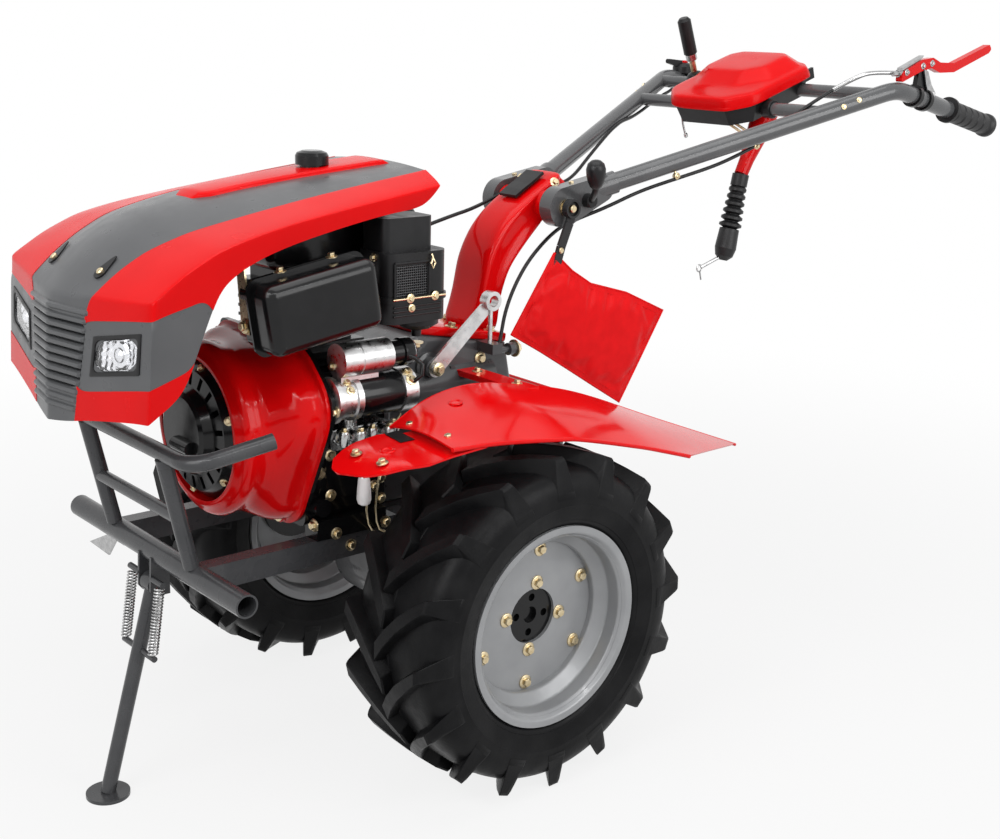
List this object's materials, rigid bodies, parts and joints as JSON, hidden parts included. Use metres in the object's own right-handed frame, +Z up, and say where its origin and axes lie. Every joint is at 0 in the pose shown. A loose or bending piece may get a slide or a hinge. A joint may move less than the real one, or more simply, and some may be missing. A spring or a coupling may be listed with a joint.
{
  "type": "walking tractor",
  "caption": "Two-wheeled walking tractor with lugged tyres, open diesel engine under a hood, arched column, long handlebars and a swing-down front stand.",
  "frame": {"origin": "on the ground under the middle of the machine's outline", "axes": "+X forward, +Y to the machine's left, +Z up"},
  "size_m": [1.9558, 0.872, 1.243],
  "materials": {
    "red_paint": "gloss scarlet paint",
    "red_plastic": "gloss scarlet moulding",
    "grey_plastic": "satin dark grey moulding",
    "grey_paint": "semi-gloss dark grey paint",
    "frame_paint": "semi-gloss charcoal paint",
    "case_paint": "painted grey casting",
    "rim_paint": "semi-gloss mid grey paint",
    "black_paint": "satin heat-proof black",
    "black_plastic": "black moulding",
    "alloy": "bare cast alloy",
    "block_paint": "black painted alloy",
    "steel": "zinc plated steel",
    "tyre": "black rubber",
    "rubber": "black rubber",
    "lens": "clear lens",
    "vinyl": "coated red vinyl"
  },
  "bodies": {
    "chassis": {"axle_housing": "case_paint", "gearbox": "case_paint", "clutch_bell": "case_paint", "hitch": "frame_paint", "engine_frame": "frame_paint", "guard": "frame_paint", "crankcase": "block_paint", "cylinder": "block_paint", "blower_shroud": "red_paint", "recoil_starter": "black_paint", "muffler": "black_paint", "air_cleaner": "black_plastic", "starter_motor": "alloy", "injection_pump": "steel", "fuel_tank": "black_paint", "hood_shell": "red_plastic", "hood_centre": "grey_plastic", "lamp_panels": "grey_plastic", "headlamps": "lens", "column": "red_paint", "fenders": "red_paint", "stand_springs": "steel", "tool_bag": "vinyl", "selector_lever": "steel", "column_cover": "grey_plastic"},
    "wheel_left": {"tyre_left": "tyre", "rim_left": "rim_paint", "hub_left": "black_paint"},
    "wheel_right": {"tyre_right": "tyre", "rim_right": "rim_paint", "hub_right": "black_paint"},
    "stand": {"stand": "frame_paint"},
    "handlebar": {"handlebar_brackets": "grey_paint", "handlebar": "grey_paint", "grips": "rubber", "clutch_lever": "red_paint", "console": "black_plastic", "gear_lever": "black_plastic", "shift_link": "rubber", "clamp_knob": "black_plastic", "lever_clamp": "black_paint", "throttle_lever": "black_plastic", "console_lid": "red_plastic", "shift_arm": "red_paint"}
  },
  "joints": [
    {"name": "wheel_left_spin", "type": "hinge", "parent": "chassis", "child": "wheel_left", "pos_m": [0.325, 0.33, 0.2875], "axis": [0, 1, 0], "continuous": true},
    {"name": "wheel_right_spin", "type": "hinge", "parent": "chassis", "child": "wheel_right", "pos_m": [0.325, -0.33, 0.2875], "axis": [0, 1, 0], "continuous": true},
    {"name": "stand_fold", "type": "hinge", "parent": "chassis", "child": "stand", "pos_m": [0.812, 0, 0.345], "axis": [0, 1, 0], "range_deg": [0, 85], "deforming": ["stand_springs"]},
    {"name": "handlebar_tilt", "type": "hinge", "parent": "chassis", "child": "handlebar", "pos_m": [0.033, 0, 0.905], "axis": [0, 1, 0], "range_deg": [-15, 20]}
  ]
}
